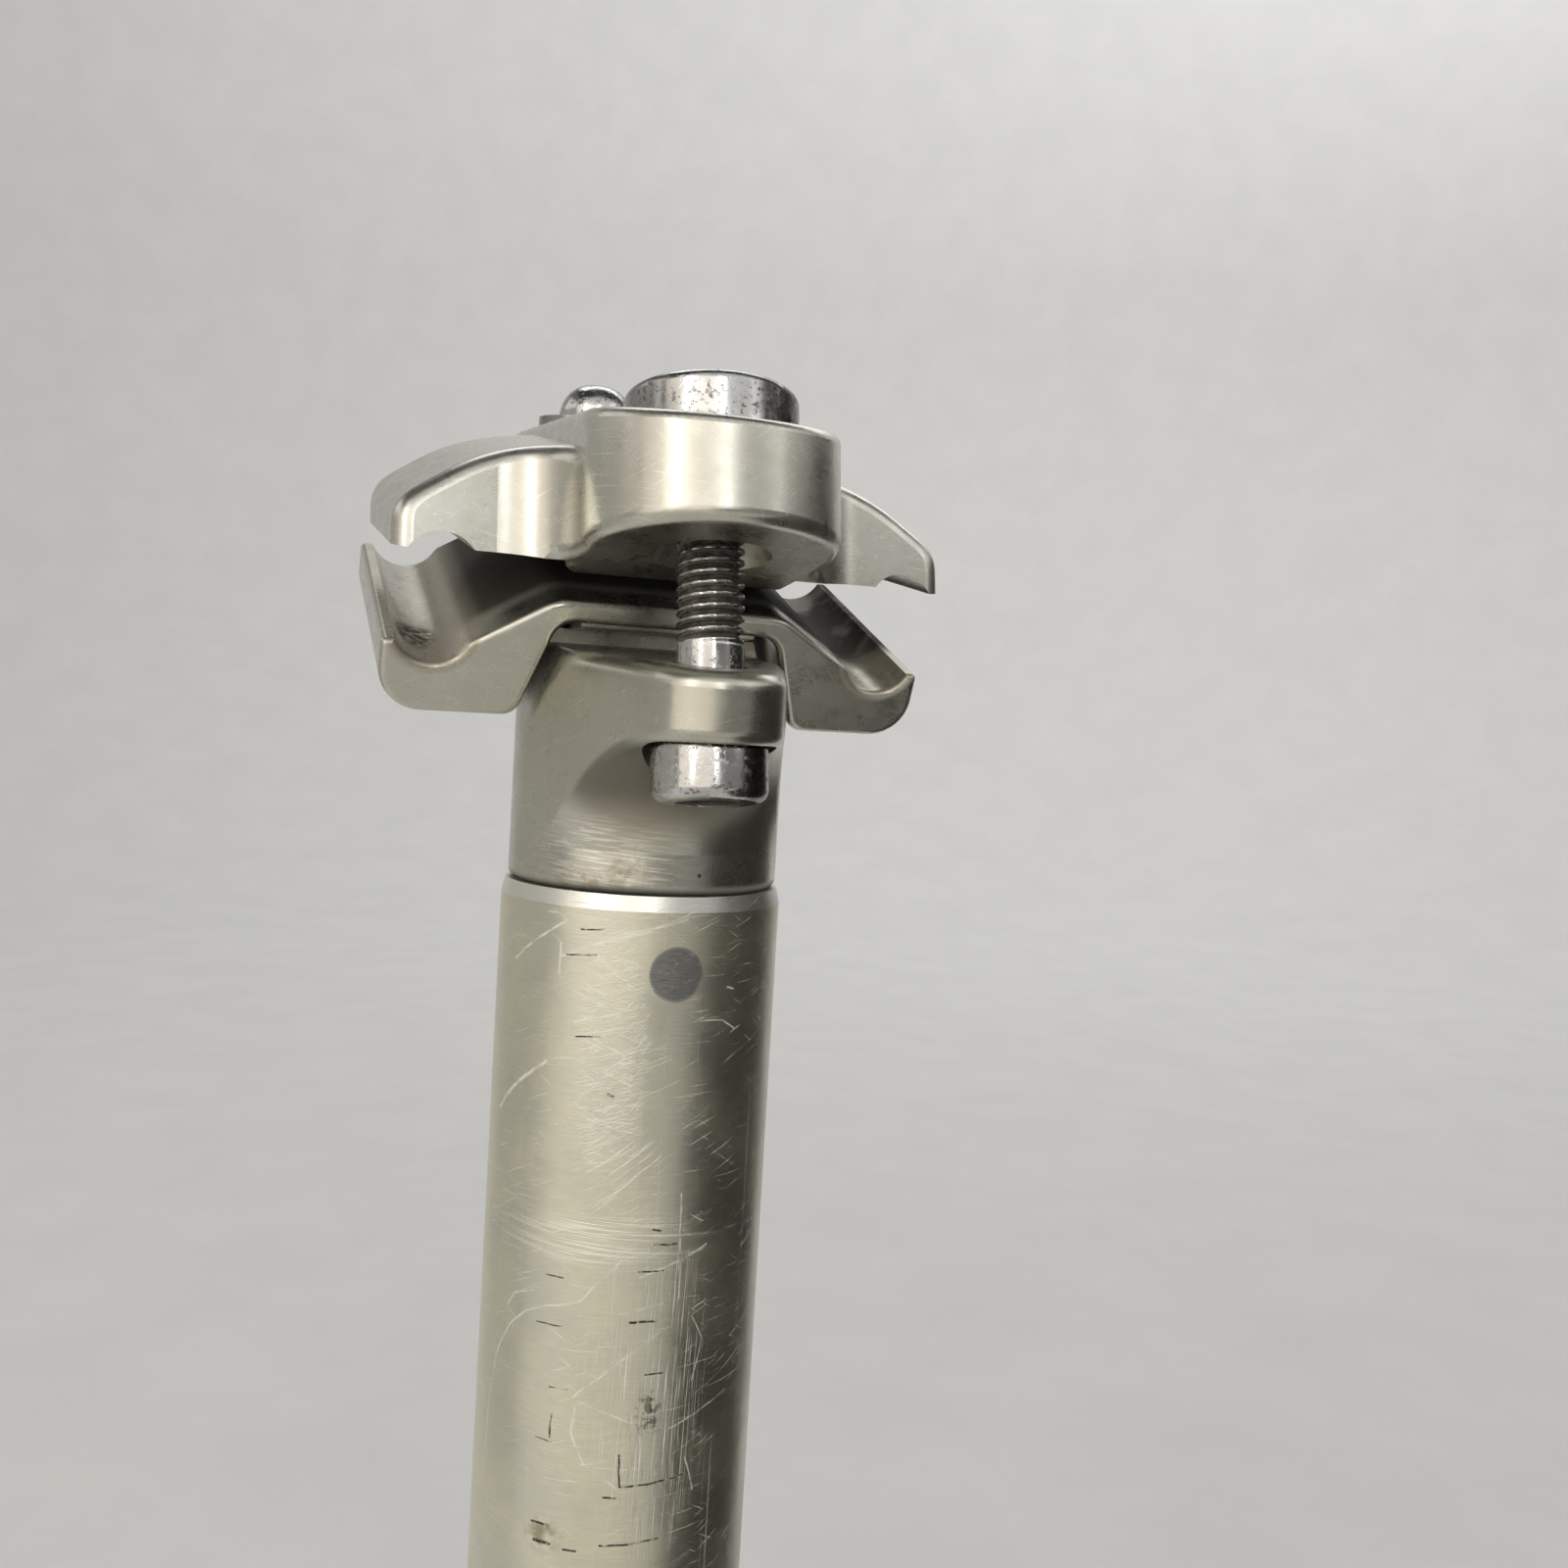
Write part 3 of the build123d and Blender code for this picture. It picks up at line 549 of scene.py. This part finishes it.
def socket_bolt(name, seat, lean, length):
    """Socket-head bolt with a rolled thread: rings of points stacked along the bolt."""
    columns = 72
    turns = [2 * math.pi * i / columns for i in range(columns)]
    hexagon = [
        SOCKET_WIDTH / 2 / math.cos((t + math.pi / 6) % (math.pi / 3) - math.pi / 6) for t in turns
    ]
    rings = []

    def ring(z, radius):
        radii = radius if isinstance(radius, list) else [radius] * columns
        rings.append([(r * math.cos(t), r * math.sin(t), z) for r, t in zip(radii, turns)])

    bottom = -BOLT_HEAD_HEIGHT
    edge = 1.1
    floor = bottom + SOCKET_DEPTH
    mouth = SOCKET_WIDTH / 2 / math.cos(math.pi / 6) + 0.12
    ring(floor, [0.55 * r for r in hexagon])
    ring(floor, hexagon)
    ring(floor + 0.02, hexagon)
    ring(bottom + 0.32, hexagon)
    ring(bottom, mouth)
    ring(bottom, mouth + 0.05)
    steps = 8
    for i in range(steps + 1):
        a = math.pi / 2 * i / steps
        ring(bottom + edge * (1 - math.cos(a)), BOLT_HEAD_RADIUS - edge * (1 - math.sin(a)))
    top_edge = 0.25
    for i in range(steps // 2 + 1):
        a = math.pi * i / steps
        ring(-top_edge * (1 - math.sin(a)), BOLT_HEAD_RADIUS - top_edge * (1 - math.cos(a)))
    ring(0.0, BOLT_RADIUS + 0.1)
    ring(0.1, BOLT_RADIUS)
    ring(THREAD_START - THREAD_PITCH, BOLT_RADIUS)

    def threaded(z, t):
        """Radius of the thread: flat crests, sloped flanks, and a run-out at its start."""
        phase = (z / THREAD_PITCH - t / (2 * math.pi)) % 1.0
        flank = min(1.0, max(0.0, (abs(phase - 0.5) - 0.1) / 0.3))
        depth = THREAD_DEPTH * min(1.0, max(0.0, (z - THREAD_START) / THREAD_PITCH + 0.4))
        return BOLT_RADIUS - depth * flank

    per_turn = 14
    tip = 0.6
    rows = round((length - tip - THREAD_START + THREAD_PITCH) / THREAD_PITCH * per_turn)
    for i in range(1, rows + 1):
        z = THREAD_START - THREAD_PITCH + (length - tip - THREAD_START + THREAD_PITCH) * i / rows
        ring(z, [threaded(z, t) for t in turns])
    ring(length, BOLT_RADIUS - tip)
    ring(length, 0.5 * BOLT_RADIUS)

    points = [p for r in rings for p in r]
    faces = []
    for k in range(len(rings) - 1):
        low, high = k * columns, (k + 1) * columns
        for i in range(columns):
            j = (i + 1) % columns
            faces.append((low + i, low + j, high + j, high + i))
    faces.append(tuple(reversed(range(columns))))
    faces.append(tuple(range(len(points) - columns, len(points))))

    mesh = bpy.data.meshes.new(name)
    mesh.from_pydata([tuple(c * MM for c in p) for p in points], [], faces, shade_flat=False)
    mesh.validate()
    mesh.set_sharp_from_angle(angle=math.radians(32))
    bolt = bpy.data.objects.new(name, mesh)
    bpy.context.scene.collection.objects.link(bolt)
    axis = Euler((math.radians(-lean), 0.0, 0.0)).to_matrix().to_4x4()
    bolt.matrix_world = Matrix.Translation(Vector(seat) * MM) @ axis
    return bolt


def dress(piece, material):
    """Gives a CAD piece its finish."""
    for slot in piece.material_slots:
        slot.material = material


dress(nodes["shaft_tube"], shaft_finish())
dress(nodes["cross_pin"], pin_finish())
dress(nodes["head"], cast_finish("polished_head", 0.6, 0.12, head_marks))
jaws = cast_finish("polished_jaws", 0.64, 0.1, jaw_marks)
dress(nodes["lower_cradle"], jaws)
dress(nodes["upper_clamp"], jaws)
plain_chrome = chrome_finish("pitted_chrome")
dress(nodes["front_nut"], plain_chrome)
dress(nodes["rear_nut"], plain_chrome)

threaded_chrome = chrome_finish("threaded_chrome", BOLT_RADIUS - THREAD_DEPTH)
for node, seat, lean, length in (
    ("front_bolt", FRONT_SEAT, FRONT_LEAN, FRONT_LENGTH),
    ("rear_bolt", REAR_SEAT, REAR_LEAN, REAR_LENGTH),
):
    bolt = socket_bolt(node + "_threaded", seat, lean, length)
    bolt.data.materials.append(threaded_chrome)
    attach(bolt, BODY)
    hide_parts(node)


def studio_sweep():
    """Pale floor that curves up into a round wall far from the post."""
    inner_radius = 0.3
    floor_radius = 1.4
    bend_radius = 0.9
    wall_top = 3.2
    bend_steps = 16
    segments = 96
    outline = [(inner_radius, 0.0), (floor_radius, 0.0)]
    for i in range(1, bend_steps + 1):
        a = math.pi / 2 * i / bend_steps
        reach = floor_radius + bend_radius * math.sin(a)
        outline.append((reach, bend_radius * (1 - math.cos(a))))
    outline.append((floor_radius + bend_radius, wall_top))
    points = []
    for radius, z in outline:
        for k in range(segments):
            a = 2 * math.pi * k / segments
            points.append((radius * math.cos(a), radius * math.sin(a), z))
    faces = [tuple(range(segments))]
    for ring in range(len(outline) - 1):
        low, high = ring * segments, (ring + 1) * segments
        for k in range(segments):
            j = (k + 1) % segments
            faces.append((low + k, high + k, high + j, low + j))
    mesh = bpy.data.meshes.new("studio_sweep")
    mesh.from_pydata(points, [], faces)
    for polygon in mesh.polygons:
        polygon.use_smooth = True
    sweep = bpy.data.objects.new("studio_sweep", mesh)
    bpy.context.scene.collection.objects.link(sweep)
    g = Graph("pale_paper")
    tone = g.noise(g.place(), 60.0, 3.0)
    colour = g.mix(g.rise(tone, 0.3, 0.7), grey(0.78, 0.01), grey(0.81, 0.02))
    mesh.materials.append(g.finish(colour, 0.85, 0.0))


def softbox(name, at, aim, width, height, level, colour=(1.0, 1.0, 1.0)):
    """Rectangular lamp at a point, in metres, turned to face another and as bright as its level."""
    lamp = bpy.data.lights.new(name, "AREA")
    lamp.shape = "RECTANGLE"
    lamp.size = width
    lamp.size_y = height
    lamp.energy = level * math.pi * width * height
    lamp.color = colour
    holder = bpy.data.objects.new(name, lamp)
    bpy.context.scene.collection.objects.link(holder)
    holder.location = at
    holder.rotation_mode = "QUATERNION"
    holder.rotation_quaternion = (Vector(aim) - Vector(at)).to_track_quat("-Z", "Y")


def card(name, tone, low_edge, high_edge):
    """Card between two edges, in metres, seen in the metal only, so that it hides no view."""
    mesh = bpy.data.meshes.new(name)
    points = [p for pair in zip(low_edge, high_edge) for p in pair]
    faces = [(2 * i, 2 * i + 2, 2 * i + 3, 2 * i + 1) for i in range(len(low_edge) - 1)]
    mesh.from_pydata(points, [], faces)
    g = Graph(name)
    mottle = g.noise(g.place(), 30.0, 3.0)
    mesh.materials.append(g.finish(g.mix(mottle, grey(tone, 0.08), grey(1.3 * tone, 0.08)), 0.9, 0.0))
    sheet = bpy.data.objects.new(name, mesh)
    bpy.context.scene.collection.objects.link(sheet)
    sheet.visible_camera = False
    sheet.visible_diffuse = False
    sheet.visible_shadow = False


studio_sweep()
card(
    "dark_card",
    0.03,
    [(0.1, -0.28, CARD_FOOT), (0.1, 0.0, CARD_FOOT), (0.45, 0.3, CARD_FOOT)],
    [(0.25, -0.18, CARD_TOP), (0.27, 0.08, CARD_TOP), (0.6, 0.36, CARD_TOP)],
)
card(
    "floor_card",
    0.6,
    [(-0.55, -0.34, CARD_FOOT), (-0.3, -0.8, CARD_FOOT), (0.1, -0.8, CARD_FOOT)],
    [(-0.12, -0.09, CARD_FOOT), (-0.05, -0.14, CARD_FOOT), (0.1, -0.14, CARD_FOOT)],
)
card(
    "grey_card",
    0.6,
    [(-0.24, 0.02, CARD_FOOT), (-0.26, 0.16, CARD_FOOT), (-0.2, 0.4, CARD_FOOT)],
    [(-0.24, 0.02, CARD_TOP), (-0.26, 0.16, CARD_TOP), (-0.2, 0.4, CARD_TOP)],
)


def toward(azimuth, elevation, distance):
    """Point that lies that way from the head: azimuth from the front towards +X, in degrees."""
    a = math.radians(azimuth)
    e = math.radians(elevation)
    way = Vector((math.sin(a) * math.cos(e), -math.cos(a) * math.cos(e), math.sin(e)))
    return Vector(HEAD_AT) + way * distance


# Lamps: azimuth and elevation in degrees, distance, width and height in metres, level and colour
LAMPS = (
    ("canopy", 0.0, 48.0, 1.2, 2.4, 1.0, 0.6, (1.0, 0.99, 0.96)),
    ("upper_right", 62.0, 34.0, 1.0, 0.8, 0.4, 0.5, (1.0, 0.99, 0.96)),
    ("upper_left", -112.0, 30.0, 1.0, 0.8, 0.4, 0.6, (1.0, 0.99, 0.96)),
    ("left", -45.0, 14.0, 0.9, 1.2, 0.8, 0.95, (1.0, 0.9, 0.78)),
    ("left_rear", -108.0, 16.0, 0.9, 0.7, 0.6, 0.2, (1.0, 0.84, 0.72)),
    ("left_bar", -50.0, 24.0, 0.85, 0.13, 0.45, 2.8, (1.0, 1.0, 0.98)),
    ("right_bar", -4.0, 24.0, 0.85, 0.11, 0.45, 3.4, (1.0, 1.0, 0.98)),
)
for name, azimuth, elevation, distance, width, height, level, colour in LAMPS:
    softbox(name, toward(azimuth, elevation, distance), HEAD_AT, width, height, level, colour)
softbox("overhead", (0.9, 1.2, 1.8), (0.9, 1.6, 0.0), 2.6, 1.2, 2.0)

world = bpy.data.worlds.new("studio")
bpy.context.scene.world = world
world.use_nodes = True
background = world.node_tree.nodes["Background"]
background.inputs["Color"].default_value = grey(WORLD_LEVEL)
background.inputs["Strength"].default_value = 1.0

camera_data = bpy.data.cameras.new("photo_camera")
camera_data.sensor_width = SENSOR
camera_data.lens = FOCAL_PIXELS / IMAGE_SIDE * SENSOR
camera_data.clip_start = 0.01
camera = bpy.data.objects.new("photo_camera", camera_data)
bpy.context.scene.collection.objects.link(camera)
yaw = Matrix.Rotation(math.radians(-CAMERA_YAW), 4, "Z")
pitch = Matrix.Rotation(math.radians(90 + CAMERA_PITCH), 4, "X")
roll = Matrix.Rotation(math.radians(CAMERA_ROLL), 4, "Z")
camera.matrix_world = Matrix.Translation(Vector(CAMERA_AT) * MM) @ yaw @ pitch @ roll
bpy.context.scene.camera = camera
bpy.context.scene.view_settings.view_transform = "Standard"
